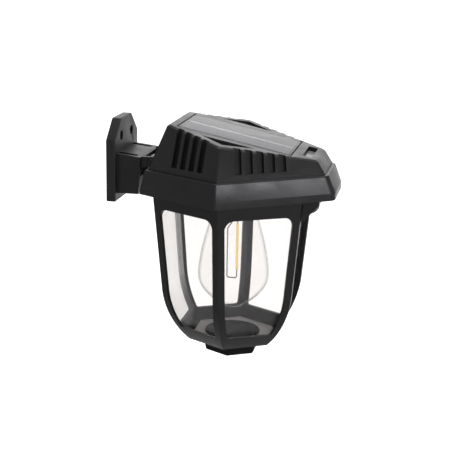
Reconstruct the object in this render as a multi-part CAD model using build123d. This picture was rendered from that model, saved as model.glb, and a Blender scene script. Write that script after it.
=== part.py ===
from build123d import *
from math import atan, cos, degrees, radians, sin, sqrt, tan
import os

# A solar wall lantern: a six-sided lantern with a solar roof, hinged to a wall bracket.
# Shapes are drawn in the lantern's own frame, in millimetres: the lamp's axis is X = Y = 0, the
# underside of the rim is Z = 0, +X points away from the wall, and the left and right sides match.
# At the end everything is shifted so that the origin lies on the wall, midway between the screws.

# Wall and its two screw holes
WALL_X = -108.2
SCREW_Z = 44.3
SCREW_SPACING = 31.0
SCREW_HOLE_R = 2.5
SCREW_SINK_R = 4.55
SCREW_SINK_DEPTH = 4.0

# Wall plate
PLATE_T = 8.1
PLATE_HALF_W = 35.8
PLATE_BOTTOM = -12.0
PLATE_TOP = 59.7
PLATE_CUT_Y = 19.0
PLATE_CUT_Z = 17.0
PLATE_CORNER_R = 2.0
PLATE_EDGE_R = 1.2

# Bracket arm: a hood of two cheeks and a top, open below and towards the lantern
ARM_HALF_W = 29.6
ARM_WALL = 3.0
ARM_BOTTOM = -4.9
ARM_TOP_ROOT = 30.5
ARM_TOP_END = 28.0
ARM_END_X = -79.0
ARM_FOOT_X = -81.0
TONGUE_LEN = 1.5
TONGUE_DROP = 0.2
SLOT_IN = 20.0
SLOT_OUT = 25.6
SLOT_END_X = -83.4
END_WEB_T = 2.2
END_WEB_IN = 0.8
END_WEB_TOP = 10.0
EAR_ROOT_LOW = 6.0
EAR_ROOT_HIGH = 26.0
EAR_FOOT_DROP = 1.5

# Hinge between the bracket's two ears and the lantern's barrel
HINGE_X = -70.0
HINGE_Z = 24.3
EAR_R = 4.3
EAR_IN = 23.7
EAR_OUT = 27.2
BARREL_IN = 12.0
BARREL_WEB = 10.0
BOLT_R = 1.5
BOLT_HEAD_R = 2.75
BOLT_HEAD_T = 2.2
BOLT_TIP = 2.0
NUT_R = 3.2
NUT_T = 2.4
WASHER_R = 3.6
WASHER_T = 0.7
RUNNING_FIT = 0.05
END_PLAY = 0.1
EAR_NOTCH = 0.8
NOTCH_OUT = 31.0

# Six sides, counted round from the front: the direction that each one faces
SIDE_ANGLES = (0.0, 55.5, 119.5, 180.0, 240.5, 304.5)

# Rim: a low band, upright but for the back, then sides that lean in up to the ledge
RIM_OFFSETS = (92.0, 75.2, 79.5, 74.9, 79.5, 75.2)
BAND_DRAFTS = (0.0, 0.0, 0.0, 11.0, 0.0, 0.0)
RIM_DRAFTS = (22.0, 9.0, 9.0, 14.5, 9.0, 9.0)
RIM_CORNER_RS = (10.0, 4.5, 3.0, 3.0, 4.5, 10.0)
BAND_Z = 6.3
LEDGE_Z = 21.5
LEDGE_SHRINK_R = 1.0
LEDGE_EDGE_R = 1.5

# Roof body on the ledge
ROOF_OFFSETS = (82.3, 69.9, 73.8, 66.9, 73.8, 69.9)
ROOF_DRAFTS = (32.0, 22.5, 22.5, 21.2, 22.5, 22.5)
ROOF_CORNER_R = 3.0
ROOF_BASE_Z = 23.2
ROOF_LOFT_Z = 64.0
RISER_OUT = 0.45
TOP_Z = 49.38
TOP_SLOPE = 0.2062
TOP_BEVEL = 1.7

# Inside of the housing
RIM_WALL = 2.5
SHOULDER_W = 2.5
CEILING_T = 5.2
ROOF_FRONT_WALL = 2.5
ROOF_SIDE_WALL = 6.0
BACK_WALL = 9.0
ROOF_WALLS = (ROOF_FRONT_WALL, ROOF_SIDE_WALL, ROOF_SIDE_WALL, BACK_WALL, ROOF_SIDE_WALL, ROOF_SIDE_WALL)
INNER_CORNER_R = 2.0
RIM_CAVITY_TOP = 19.0
SEAT_Z = 4.0

# Cooling flutes in the four oblique sides
FLUTE_W = 6.2
FLUTE_DEPTH = 3.5
FLUTE_SILL_Z = 26.8
FRONT_FLUTES = 5
FRONT_FLUTE_FIRST = -27.3
FRONT_FLUTE_PITCH = 10.2
FRONT_FLUTE_LEAN = -7.0
BACK_FLUTES = 4
BACK_FLUTE_FIRST = 22.4
BACK_FLUTE_PITCH = -9.7
BACK_FLUTE_LEAN = 8.0

# Three-cornered pockets beside the panel
POCKET_BACK = (-21.0, 46.0)
POCKET_FRONT = (24.5, 44.5)
POCKET_TIP = (0.0, 62.0)
POCKET_DEPTH = 2.75

# Solar panel, in the sloping top
PANEL_X = 4.8
PANEL_L = 100.0
PANEL_W = 70.0
PANEL_GAP = 1.0
PANEL_CORNER_R = 2.0
PANEL_EDGE_R = 1.2
RECESS_DEPTH = 2.7
SEAL_T = 0.5
SEAL_MARGIN = 1.0
SEAL_W = 6.0
BOARD_T = 1.2
BOARD_MARGIN = 0.2
CELL_T = 0.3
CELL_MARGIN = 2.5
COVER_PROUD = 0.4
BUSBAR_Y = 1.5
BUSBAR_W = 1.2

# Mode button in the front pocket of the top
BUTTON_X = 66.25
BUTTON_L = 44.0
BUTTON_W = 8.3
BUTTON_SUNK = 3.7
BUTTON_GAP = 0.35
BUTTON_LIP = 1.6
BUTTON_LIP_INSET = 1.5
BUTTON_LIP_T = 1.5
STEM_R = 2.5
STEM_L = 2.0
PLUNGER_R = 1.7
PLUNGER_L = 3.2
SWITCH_SIDE = 6.0
SWITCH_H = 3.5
SWITCH_BORE_R = 2.0
SWITCH_GAP = 1.3
SWITCH_BOARD_L = 53.0
SWITCH_BOARD_W = 9.0
SWITCH_POST_Y = 24.2
SWITCH_POST_R = 2.0
SWITCH_SCREW_L = 6.0
SWITCH_FLOOR_T = 0.3
SWITCH_PILOT_SHORT = 2.0

# Tray that closes the housing from below
TRAY_T = 3.0
TRAY_FIT = 0.3
TRAY_HOLE_R = 17.4
TRAY_SCREWS = ((-60.5, 47.5), (-60.5, -47.5), (0.0, 80.0), (0.0, -80.0), (79.5, 26.0), (79.5, -26.0))
TRAY_BOSS_R = 3.6
TRAY_PILOT_TOP = 15.0
TRAY_SCREW_TIP = 13.0
LEAD_SLOT_X = 70.0
LEAD_SLOT_W = 4.0
LEAD_SLOT_L = 12.0

# Screws: shank and head radii, and the clearance round each shank
SCREW_R = 1.4
SCREW_HEAD_R = 2.7
SCREW_HEAD_T = 1.8
SMALL_SCREW_R = 0.9
SMALL_HEAD_R = 1.8
SMALL_HEAD_T = 1.2
SCREW_FIT = 0.1

# Cage: six ribs between a top band and a floor, tapering straight and then curving in
CAGE_TOP_A = 65.7
CAGE_BEND_A = 58.2
CAGE_BEND_Z = -88.0
CAGE_END_A = 35.8
CAGE_END_Z = -138.5
CAGE_WALL = 3.0
CAGE_FLOOR_T = 2.0
RIB_HALF = 6.2
WINDOW_TOP = -14.0
WINDOW_BOTTOM = -125.0
WINDOW_TOP_R = 8.0
WINDOW_BOTTOM_R = 3.0
CAGE_BOSS_RADIUS = 68.6
CAGE_BOSS_R = 3.8
CAGE_BOSS_H = 12.0
CAGE_BOSS_RIB_T = 2.4
CAGE_SCREW_SHORT = 3.0
CAGE_PILOT_FLOOR = 1.0
CAGE_BOSS_ANGLES = (30.0, 150.0, 270.0)

# Clear shade inside the cage, and the floor below it
SHADE_FIT = 0.3
SHADE_T = 2.0
SHADE_TOP = -0.6
FLOOR_T = 2.0
FLOOR_FIT = 0.4
DISC_R = 25.0
DISC_T = 1.0

# Foot under the cage
FOOT_TOP_R = 27.8
FOOT_LOW_R = 25.0
FOOT_H = 12.6
FOOT_BEVEL = 1.2
FOOT_SCREW_HEAD_R = 4.0
FOOT_SCREW_L = 10.0
FOOT_PILOT_DEPTH = 9.0

# Lamp: a tapering bulb of 64 mm with a screw cap, and its holder
BULB_PROFILE = ((18.6, -14.0), (23.6, -34.0), (28.8, -54.0), (30.9, -66.0), (32.1, -78.0), (31.1, -86.5),
                (24.7, -96.9), (18.4, -102.7), (11.0, -107.6))
BULB_NECK = (13.2, 2.0)
BULB_END_Z = -110.8
BULB_BELLY_Z = -72.0
BULB_GLASS_T = 0.9
CAP_R = 13.2
CAP_TOP = 27.0
CAP_WALL = 0.8
CAP_BEVEL = 2.5
CONTACT_R = 4.5
CONTACT_TOP = 31.0
STEM_TOP_R = 7.0
STEM_LOW_R = 2.2
STEM_END_Z = -29.0
STEM_NECK_Z = -16.0
STEM_SEAT_T = 2.0
FILAMENT_X = 3.0
FILAMENT_TOP = -33.0
FILAMENT_END = -76.0
FILAMENT_W = 2.4
FILAMENT_T = 1.0
WIRE_R = 0.55
WIRE_X = -6.0
WIRE_LOW = -84.0
WIRE_BEND_R = 2.0
WIRE_DROP = 3.0
SOCKET_R = 17.0
SOCKET_BORE_R = 13.6
SOCKET_FLANGE_R = 23.5
SOCKET_FLANGE_T = 2.5
SOCKET_TOP = 33.5
SOCKET_SCREW_Y = 20.3
SOCKET_SCREW_TIP = 1.2
SOCKET_PILOT_LOW = 1.0

# Motion sensor under the front of the rim
SENSOR_HALF_W = 36.5
SENSOR_BACK_TOP = 66.3
SENSOR_TIP = (64.6, -20.5)
SENSOR_LIP = (80.0, -3.0)
SENSOR_WALL = 1.8
SENSOR_POST_Y = 30.5
SENSOR_POST_X = 73.0
SENSOR_POST_R = 2.8
SENSOR_POST_H = 4.5
SENSOR_PILOT_FLOOR = 0.5
SENSOR_RIB_T = 2.0
SENSOR_FIT = 0.3
LENS_ALONG = 9.2
LENS_R = 7.5
LENS_RISE = 4.5
LENS_T = 0.8
LENS_RIM_W = 1.4
PIR_R = 2.6
PIR_H = 2.8
PIR_BOARD_DEPTH = 3.4
PIR_BOARD_T = 0.8
PIR_BOARD_HALF = 13.0
PIR_BOARD_LOW = -2.2
PIR_BOARD_HIGH = 9.0
PIR_X = 1.0
PIR_POST_Y = 10.5
PIR_POST_X = 4.0
PIR_POST_R = 1.4

# Battery and control board on the tray
BATTERY_R = 9.15
BATTERY_L = 65.0
BATTERY_X = -42.0
BATTERY_LIFT = 1.6
HOLDER_HALF_X = 11.0
HOLDER_HALF_Y = 36.0
HOLDER_H = 9.5
HOLDER_FIT = 0.1
CONTROL_BOARD = (25.0, 57.0, 29.0)
CONTROL_BOARD_T = 1.6
CONTROL_POST_H = 5.0
CONTROL_POST_R = 2.6
CONTROL_POST_IN = 3.5

# Sizes that follow from the ones above
SLOPE_DEG = degrees(atan(TOP_SLOPE))
TOP_PLANE = Pos(PANEL_X, 0, TOP_Z - TOP_SLOPE * PANEL_X) * Rot(Y=SLOPE_DEG)
TAPER = (CAGE_TOP_A - CAGE_BEND_A) / -CAGE_BEND_Z
MIRROR = Plane.XZ

# How far joined forms run into each other, cuts run past the faces they open, and large cuts reach
SINK = 1.0
OVER = 1.0
REACH = 300.0


def block(x, y, z):
    """A box between the low and high values of each direction."""
    size = [high - low for low, high in (x, y, z)]
    middle = [(high + low) / 2 for low, high in (x, y, z)]
    return Pos(*middle) * Box(*size)


def rod_x(low, high, y, z, radius):
    """A round bar along X."""
    return Pos((low + high) / 2, y, z) * Rot(Y=90) * Cylinder(radius, high - low)


def rod_y(low, high, x, z, radius):
    """A round bar along Y."""
    return Pos(x, (low + high) / 2, z) * Rot(X=90) * Cylinder(radius, high - low)


def rod_z(low, high, x, y, radius):
    """A round bar along Z."""
    return Pos(x, y, (low + high) / 2) * Cylinder(radius, high - low)


def slice_y(points, low, high):
    """A prism along Y whose outline is given in X and Z."""
    outline = Plane.XZ.offset(-high) * Polygon(*points, align=None)
    return extrude(outline, high - low, dir=(0, -1, 0))


def both_sides(shape):
    """A shape and its mirror image on the other side of the lantern."""
    return shape + mirror(shape, about=MIRROR)


def six_sided(offsets, corner_rs, z):
    """A level face whose six sides stand at the given distances from the axis."""
    corners = []
    for side in range(6):
        first = radians(SIDE_ANGLES[side])
        second = radians(SIDE_ANGLES[(side + 1) % 6])
        near = offsets[side]
        far = offsets[(side + 1) % 6]
        spread = sin(second - first)
        x = (near * sin(second) - far * sin(first)) / spread
        y = (far * cos(first) - near * cos(second)) / spread
        corners.append((x, y))
    outline = FilletPolyline(*corners, radius=list(corner_rs), close=True)
    return Pos(0, 0, z) * make_face(outline)


def leaned(offsets, drafts, rise):
    """The distances of the sides after a rise, each side leaning in by its own draft."""
    return [offset - rise * tan(radians(draft)) for offset, draft in zip(offsets, drafts)]


def moved(offsets, step):
    """The distances of the sides, all moved in or out."""
    return [offset + step for offset in offsets]


def rim_offsets(z):
    """The distances of the rim's sides at a height."""
    band = leaned(RIM_OFFSETS, BAND_DRAFTS, min(z, BAND_Z))
    return leaned(band, RIM_DRAFTS, max(0.0, z - BAND_Z))


def below_top(depth):
    """All the space under a plane that lies at a depth below the sloping top."""
    return TOP_PLANE * Pos(0, 0, -depth - REACH / 2) * Box(REACH, REACH, REACH)


def roof_core(insets, base_z, depth, corner_r):
    """The leaning six-sided body of the roof, inset and cut off at a depth below its top."""
    lowest = [offset - inset for offset, inset in zip(ROOF_OFFSETS, insets)]
    radii = [corner_r] * 6
    sections = []
    for z in (base_z, ROOF_LOFT_Z):
        sections.append(six_sided(leaned(lowest, ROOF_DRAFTS, z - ROOF_BASE_Z), radii, z))
    return loft(sections, ruled=True) & below_top(depth)


def facet_place(angle, along, z):
    """The place on a roof side: X runs along the side, Y up the side and Z out of it."""
    side = SIDE_ANGLES.index(angle % 360)
    turn = radians(angle)
    draft = radians(ROOF_DRAFTS[side])
    offset = leaned(ROOF_OFFSETS, ROOF_DRAFTS, z - ROOF_BASE_Z)[side]
    origin = (
        offset * cos(turn) - along * sin(turn),
        offset * sin(turn) + along * cos(turn),
        z,
    )
    outward = (cos(turn) * cos(draft), sin(turn) * cos(draft), sin(draft))
    return Plane(origin=origin, x_dir=(-sin(turn), cos(turn), 0), z_dir=outward).location


def flutes():
    """The channels cut into the near oblique sides, open at the top."""
    cuts = []
    rows = (
        (-55.5, FRONT_FLUTES, FRONT_FLUTE_FIRST, FRONT_FLUTE_PITCH, FRONT_FLUTE_LEAN),
        (-119.5, BACK_FLUTES, BACK_FLUTE_FIRST, BACK_FLUTE_PITCH, BACK_FLUTE_LEAN),
    )
    for angle, count, first, pitch, lean in rows:
        for number in range(count):
            place = facet_place(angle, first + number * pitch, FLUTE_SILL_Z)
            cuts.append(place * Rot(Z=lean) * Box(FLUTE_W, REACH, 2 * FLUTE_DEPTH))
    above_sill = Pos(0, 0, FLUTE_SILL_Z + REACH / 2) * Box(REACH, REACH, REACH)
    return [cut & above_sill for cut in cuts]


def on_top(x, y, low, high):
    """A block set square to the sloping top: x from the panel's middle, heights from the top."""
    return TOP_PLANE * block(x, y, (low, high))


def along_top(x):
    """The distance along the sloping top from the panel's middle to a plan distance x."""
    return (x - PANEL_X) * sqrt(1 + TOP_SLOPE ** 2)


def corner_pocket():
    """The three-cornered pocket on the near side of the panel."""
    points = [(along_top(x), -y) for x, y in (POCKET_BACK, POCKET_FRONT, POCKET_TIP)]
    prism = extrude(Polygon(*points, align=None), 2 * POCKET_DEPTH, dir=(0, 0, 1))
    return TOP_PLANE * Pos(0, 0, -POCKET_DEPTH) * prism


def button_box(grow, low, high):
    """A block in the place of the mode button, larger by grow on each side."""
    middle = along_top(BUTTON_X)
    half = BUTTON_W / 2 + grow
    across = BUTTON_L / 2 + grow
    return on_top((middle - half, middle + half), (-across, across), low, high)


def lantern_half_width(z):
    """The distance from the axis to the middle of a cage side at a height."""
    if z >= CAGE_BEND_Z:
        return CAGE_TOP_A + TAPER * z
    centre_x, centre_z, radius = bend_circle()
    return centre_x + sqrt(radius ** 2 - (z - centre_z) ** 2)


def bend_circle():
    """Centre and radius of the arc that leaves the straight taper and ends at the floor."""
    slant = sqrt(1 + TAPER ** 2)
    inward = (-1 / slant, TAPER / slant)
    chord = (CAGE_END_A - CAGE_BEND_A, CAGE_END_Z - CAGE_BEND_Z)
    lean = inward[0] * chord[0] + inward[1] * chord[1]
    radius = (chord[0] ** 2 + chord[1] ** 2) / (2 * lean)
    return CAGE_BEND_A + radius * inward[0], CAGE_BEND_Z + radius * inward[1], radius


def lantern_body(inset, top, bottom):
    """The cage's six-sided form, inset level all round, between two heights."""
    mid_z = (CAGE_BEND_Z + CAGE_END_Z) / 2
    heights = (top, CAGE_BEND_Z, mid_z, CAGE_END_Z)
    right = [(lantern_half_width(z) - inset, z) for z in heights]
    left = [(-x, z) for x, z in right]
    outline = [
        Line(left[0], right[0]),
        Line(right[0], right[1]),
        ThreePointArc(right[1], right[2], right[3]),
        Line(right[3], left[3]),
        ThreePointArc(left[3], left[2], left[1]),
        Line(left[1], left[0]),
    ]
    section = Plane.XZ.offset(-REACH) * make_face(outline)
    slab = extrude(section, 2 * REACH, dir=(0, -1, 0))
    body = slab & (Rot(Z=60) * slab) & (Rot(Z=120) * slab)
    return body & block((-REACH, REACH), (-REACH, REACH), (bottom, top))


def cage_window():
    """The opening in the front side of the cage, as a bar through the wall."""
    mid_z = (CAGE_BEND_Z + WINDOW_BOTTOM) / 2
    edge = []
    for z in (WINDOW_TOP, CAGE_BEND_Z, mid_z, WINDOW_BOTTOM):
        edge.append((lantern_half_width(z) * tan(radians(30)) - RIB_HALF, z))
    back = [(-y, z) for y, z in edge]
    outline = [
        Line(back[0], edge[0]),
        Line(edge[0], edge[1]),
        ThreePointArc(edge[1], edge[2], edge[3]),
        Line(edge[3], back[3]),
        ThreePointArc(back[3], back[2], back[1]),
        Line(back[1], back[0]),
    ]
    window = make_face(outline)
    low = CAGE_END_A / 2
    window = fillet(window.vertices().group_by(Axis.Y)[-1], WINDOW_TOP_R)
    window = fillet(window.vertices().group_by(Axis.Y)[0], WINDOW_BOTTOM_R)
    return extrude(Plane.YZ.offset(low) * window, 2 * CAGE_TOP_A, dir=(1, 0, 0))


def boss_places():
    """The axes of the three cage bosses."""
    turns = [radians(angle) for angle in CAGE_BOSS_ANGLES]
    return [(CAGE_BOSS_RADIUS * cos(turn), CAGE_BOSS_RADIUS * sin(turn)) for turn in turns]


def screw(x, y, seat_z, tip_z, radius, head_r, head_t):
    """A screw that points down from the face its head sits on."""
    shank = rod_z(tip_z, seat_z, x, y, radius)
    head = rod_z(seat_z, seat_z + head_t, x, y, head_r)
    return shank + head


def wall_bracket():
    """Wall plate, hooded arm and the two ears of the hinge, moulded in one."""
    cut_z = PLATE_TOP - PLATE_CUT_Z
    cut_y = PLATE_HALF_W - PLATE_CUT_Y
    outline = Polygon(
        (-PLATE_HALF_W, PLATE_BOTTOM),
        (PLATE_HALF_W, PLATE_BOTTOM),
        (PLATE_HALF_W, cut_z),
        (cut_y, PLATE_TOP),
        (-cut_y, PLATE_TOP),
        (-PLATE_HALF_W, cut_z),
        align=None,
    )
    front_x = WALL_X + PLATE_T
    plate = extrude(Plane.YZ.offset(WALL_X) * outline, PLATE_T, dir=(1, 0, 0))
    plate = fillet(plate.edges().filter_by(Axis.X), PLATE_CORNER_R)
    plate = fillet(plate.faces().sort_by(Axis.X)[-1].edges(), PLATE_EDGE_R)
    root_x = front_x - SINK
    hood = slice_y(
        [(root_x, ARM_BOTTOM), (ARM_FOOT_X, ARM_BOTTOM), (ARM_END_X, ARM_TOP_END), (root_x, ARM_TOP_ROOT)],
        -ARM_HALF_W, ARM_HALF_W,
    )
    hollow_half = ARM_HALF_W - ARM_WALL
    hollow = slice_y(
        [(front_x, ARM_BOTTOM - OVER), (0, ARM_BOTTOM - OVER), (0, END_WEB_TOP),
         (ARM_END_X, ARM_TOP_END - ARM_WALL), (front_x, ARM_TOP_ROOT - ARM_WALL)],
        -hollow_half, hollow_half,
    )
    tip_x = ARM_END_X + TONGUE_LEN
    tongue_low = ARM_TOP_END - ARM_WALL
    tongue = slice_y(
        [(ARM_END_X - SINK, ARM_TOP_END), (tip_x, ARM_TOP_END - TONGUE_DROP), (tip_x, tongue_low),
         (ARM_END_X - SINK, tongue_low)],
        -SLOT_IN, SLOT_IN,
    )
    end_lean = (ARM_END_X - ARM_FOOT_X) / (ARM_TOP_END - ARM_BOTTOM)
    web_low_x = ARM_FOOT_X - END_WEB_IN
    web_high_x = web_low_x + end_lean * (END_WEB_TOP - ARM_BOTTOM)
    end_web = slice_y(
        [(web_low_x, ARM_BOTTOM), (web_high_x, END_WEB_TOP), (web_high_x - END_WEB_T, END_WEB_TOP),
         (web_low_x - END_WEB_T, ARM_BOTTOM)],
        -hollow_half - SINK, hollow_half + SINK,
    )
    slot_z = (ARM_TOP_END - 2 * ARM_WALL, ARM_TOP_ROOT + OVER)
    slot = block((front_x, SLOT_END_X), (SLOT_IN, SLOT_OUT), slot_z)
    ear = slice_y(
        [(root_x, EAR_ROOT_LOW), (root_x, EAR_ROOT_HIGH), (ARM_FOOT_X, EAR_ROOT_HIGH),
         (ARM_END_X, HINGE_Z + EAR_R - TONGUE_DROP), (HINGE_X, HINGE_Z + EAR_R), (HINGE_X, HINGE_Z - EAR_R),
         (ARM_FOOT_X, HINGE_Z - EAR_R - EAR_FOOT_DROP)],
        EAR_IN, EAR_OUT,
    )
    ear = ear + rod_y(EAR_IN, EAR_OUT, HINGE_X, HINGE_Z, EAR_R)
    ear = ear - rod_y(EAR_IN - OVER, EAR_OUT + OVER, HINGE_X, HINGE_Z, BOLT_R + RUNNING_FIT)
    hole_y = SCREW_SPACING / 2
    hole = rod_x(WALL_X - OVER, front_x + OVER, hole_y, SCREW_Z, SCREW_HOLE_R)
    hole = hole + rod_x(front_x - SCREW_SINK_DEPTH, front_x + OVER, hole_y, SCREW_Z, SCREW_SINK_R)
    arm = hood - hollow + tongue + end_web - both_sides(slot)
    return plate + arm + both_sides(ear) - both_sides(hole)


def hinge_bolt():
    """The round-headed bolt through both ears and the barrel."""
    head_low = -EAR_OUT - BOLT_HEAD_T
    shank = rod_y(-EAR_OUT, EAR_OUT + NUT_T + BOLT_TIP, HINGE_X, HINGE_Z, BOLT_R)
    head = rod_y(head_low, -EAR_OUT, HINGE_X, HINGE_Z, BOLT_HEAD_R)
    head = fillet(head.edges().group_by(Axis.Y)[0], BOLT_HEAD_T / 2)
    return shank + head


def hinge_nut():
    """The six-sided nut outside the far ear."""
    outline = Plane.XZ.offset(-EAR_OUT) * RegularPolygon(NUT_R, 6)
    nut = Pos(HINGE_X, 0, HINGE_Z) * extrude(outline, NUT_T, dir=(0, 1, 0))
    return nut - rod_y(0, 2 * EAR_OUT, HINGE_X, HINGE_Z, BOLT_R + RUNNING_FIT)


def hinge_washers():
    """One flat washer between each ear and the barrel."""
    washer = rod_y(EAR_IN - WASHER_T, EAR_IN, HINGE_X, HINGE_Z, WASHER_R)
    washer = washer - rod_y(0, EAR_OUT, HINGE_X, HINGE_Z, BOLT_R + RUNNING_FIT)
    return both_sides(washer)


def roof_housing():
    """Rim, ledge and fluted roof moulded as one shell, open below, with the hinge barrel."""
    ledge_rs = [radius - LEDGE_SHRINK_R for radius in RIM_CORNER_RS]
    rim = loft(
        [
            six_sided(RIM_OFFSETS, RIM_CORNER_RS, 0),
            six_sided(rim_offsets(BAND_Z), RIM_CORNER_RS, BAND_Z),
            six_sided(rim_offsets(LEDGE_Z), ledge_rs, LEDGE_Z),
        ],
        ruled=True,
    )
    rim = fillet(rim.faces().sort_by(Axis.Z)[-1].edges(), LEDGE_EDGE_R)
    riser_plan = six_sided(moved(ROOF_OFFSETS, RISER_OUT), [ROOF_CORNER_R] * 6, LEDGE_Z)
    riser = extrude(riser_plan, ROOF_BASE_Z - LEDGE_Z, dir=(0, 0, 1))
    roof = roof_core([0.0] * 6, ROOF_BASE_Z, 0.0, ROOF_CORNER_R)
    top_face = roof.faces().sort_by(Axis.Z)[-1]
    roof = chamfer(top_face.edges(), TOP_BEVEL)
    shell = rim + riser + roof

    half_l = PANEL_L / 2 + PANEL_GAP
    half_w = PANEL_W / 2 + PANEL_GAP
    recess = on_top((-half_l, half_l), (-half_w, half_w), -RECESS_DEPTH, OVER)
    near_cuts = flutes() + [corner_pocket()]
    for cut in near_cuts:
        shell = shell - cut - mirror(cut, about=MIRROR)
    shell = shell - recess

    barrel_half = EAR_IN - WASHER_T - END_PLAY
    barrel = rod_y(BARREL_IN, barrel_half, HINGE_X, HINGE_Z, EAR_R)
    web = block((HINGE_X, HINGE_X + BARREL_WEB), (BARREL_IN, barrel_half), (HINGE_Z - EAR_R, HINGE_Z + EAR_R))
    notch = rod_y(barrel_half, NOTCH_OUT, HINGE_X, HINGE_Z, EAR_R + EAR_NOTCH)
    shell = shell - both_sides(notch) + both_sides(barrel + web)
    shell = shell - rod_y(-EAR_OUT, EAR_OUT, HINGE_X, HINGE_Z, BOLT_R + RUNNING_FIT)

    roof_hollow = roof_core(ROOF_WALLS, RIM_CAVITY_TOP - 2 * SINK, CEILING_T, ROOF_CORNER_R)
    inner_rs = [INNER_CORNER_R] * 6
    shoulder = RIM_WALL + SHOULDER_W
    walls = (shoulder, shoulder, shoulder, BACK_WALL, shoulder, shoulder)
    lower = [offset - wall for offset, wall in zip(RIM_OFFSETS, walls)]
    upper = [offset - wall for offset, wall in zip(rim_offsets(RIM_CAVITY_TOP), walls)]
    rim_hollow = loft(
        [six_sided(lower, inner_rs, SEAT_Z - OVER), six_sided(upper, inner_rs, RIM_CAVITY_TOP)],
        ruled=True,
    )
    seat_plan = six_sided(moved(RIM_OFFSETS, -RIM_WALL), inner_rs, -OVER)
    seat = extrude(seat_plan, SEAT_Z + OVER, dir=(0, 0, 1))
    shell = shell - roof_hollow - rim_hollow - seat

    for x, y in TRAY_SCREWS:
        shell = shell + rod_z(TRAY_T, RIM_CAVITY_TOP + SINK / 2, x, y, TRAY_BOSS_R)
    for x, y in TRAY_SCREWS:
        shell = shell - rod_z(TRAY_T - OVER, TRAY_PILOT_TOP, x, y, SCREW_R + SCREW_FIT)
    for x, y in boss_places():
        shell = shell - rod_z(TRAY_T - OVER, TRAY_T + SCREW_HEAD_T + END_PLAY, x, y, SCREW_HEAD_R + SCREW_FIT)

    post_x = along_top(BUTTON_X)
    post_low = -switch_depth()
    post = TOP_PLANE * rod_z(post_low, -CEILING_T + SINK / 2, post_x, SWITCH_POST_Y, SWITCH_POST_R)
    pilot_top = -CEILING_T - SWITCH_PILOT_SHORT
    pilot = TOP_PLANE * rod_z(post_low - OVER, pilot_top, post_x, SWITCH_POST_Y, SMALL_SCREW_R + SCREW_FIT)
    return shell - button_box(0.0, -2 * CEILING_T, OVER) + both_sides(post) - both_sides(pilot)


def switch_depth():
    """The depth of the switch board's upper face below the sloping top."""
    lip_low = CEILING_T + BUTTON_GAP / 2 + BUTTON_LIP_T
    return lip_low + STEM_L + SWITCH_GAP + SWITCH_H


def panel_block(low, high, margin):
    """A block centred on the panel, from low to high above the top and inside its edge."""
    half_l = PANEL_L / 2 - margin
    half_w = PANEL_W / 2 - margin
    return block((-half_l, half_l), (-half_w, half_w), (low, high))


def panel_levels():
    """Heights, from the top, of the seal's, board's and cells' upper faces."""
    seal = -RECESS_DEPTH + SEAL_T
    board = seal + BOARD_T
    return seal, board, board + CELL_T


def panel_seal():
    """The adhesive frame that the panel is bedded on."""
    seal, _, _ = panel_levels()
    sheet = panel_block(-RECESS_DEPTH, seal, SEAL_MARGIN)
    return TOP_PLANE * (sheet - panel_block(-RECESS_DEPTH - OVER, seal + OVER, SEAL_MARGIN + SEAL_W))


def solar_board():
    """The board under the cells."""
    seal, board, _ = panel_levels()
    slab = panel_block(seal, board, BOARD_MARGIN)
    return TOP_PLANE * fillet(slab.edges().filter_by(Axis.Z), PANEL_CORNER_R)


def cell_plan(low, high):
    """The two dark cells, one on each side of the busbar."""
    whole = panel_block(low, high, CELL_MARGIN)
    lane = block((-PANEL_L, PANEL_L), (BUSBAR_Y - BUSBAR_W / 2, BUSBAR_Y + BUSBAR_W / 2), (low, high))
    return whole - lane


def solar_cells():
    """The pair of solar cells."""
    _, board, cells = panel_levels()
    return TOP_PLANE * cell_plan(board, cells)


def cell_busbar():
    """The pale ribbon between the cells."""
    _, board, cells = panel_levels()
    half_l = PANEL_L / 2 - CELL_MARGIN
    ribbon = block((-half_l, half_l), (BUSBAR_Y - BUSBAR_W / 2, BUSBAR_Y + BUSBAR_W / 2), (board, cells))
    return TOP_PLANE * ribbon


def panel_cover():
    """The clear cast cover over the cells, with rounded edges."""
    _, board, cells = panel_levels()
    slab = panel_block(board, COVER_PROUD, 0.0)
    slab = fillet(slab.edges().filter_by(Axis.Z), PANEL_CORNER_R)
    slab = fillet(slab.faces().sort_by(Axis.Z)[-1].edges(), PANEL_EDGE_R)
    return TOP_PLANE * (slab - panel_block(board - OVER, cells, CELL_MARGIN))


def mode_button():
    """The long button in the front pocket, with its lip under the ceiling and its stem."""
    lip_top = -CEILING_T - BUTTON_GAP / 2
    lip_low = lip_top - BUTTON_LIP_T
    cap = button_box(-BUTTON_GAP, lip_top - SINK / 2, -BUTTON_SUNK)
    middle = along_top(BUTTON_X)
    half = BUTTON_W / 2 + BUTTON_LIP
    across = BUTTON_L / 2 - BUTTON_LIP_INSET
    lip = on_top((middle - half, middle + half), (-across, across), lip_low, lip_top)
    stem = TOP_PLANE * rod_z(lip_low - STEM_L, lip_low + SINK / 2, middle, 0, STEM_R)
    return cap + lip + stem


def switch_plunger():
    """The switch's own plunger, under the button's stem."""
    top = -CEILING_T - BUTTON_GAP / 2 - BUTTON_LIP_T - STEM_L
    return TOP_PLANE * rod_z(top - PLUNGER_L, top, along_top(BUTTON_X), 0, PLUNGER_R)


def tactile_switch():
    """The switch body with the bore that its plunger slides in."""
    low = -switch_depth()
    middle = along_top(BUTTON_X)
    half = SWITCH_SIDE / 2
    body = block((middle - half, middle + half), (-half, half), (low, low + SWITCH_H))
    bore = rod_z(low + SWITCH_FLOOR_T, low + SWITCH_H + OVER, middle, 0, SWITCH_BORE_R)
    return TOP_PLANE * (body - bore)


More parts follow.
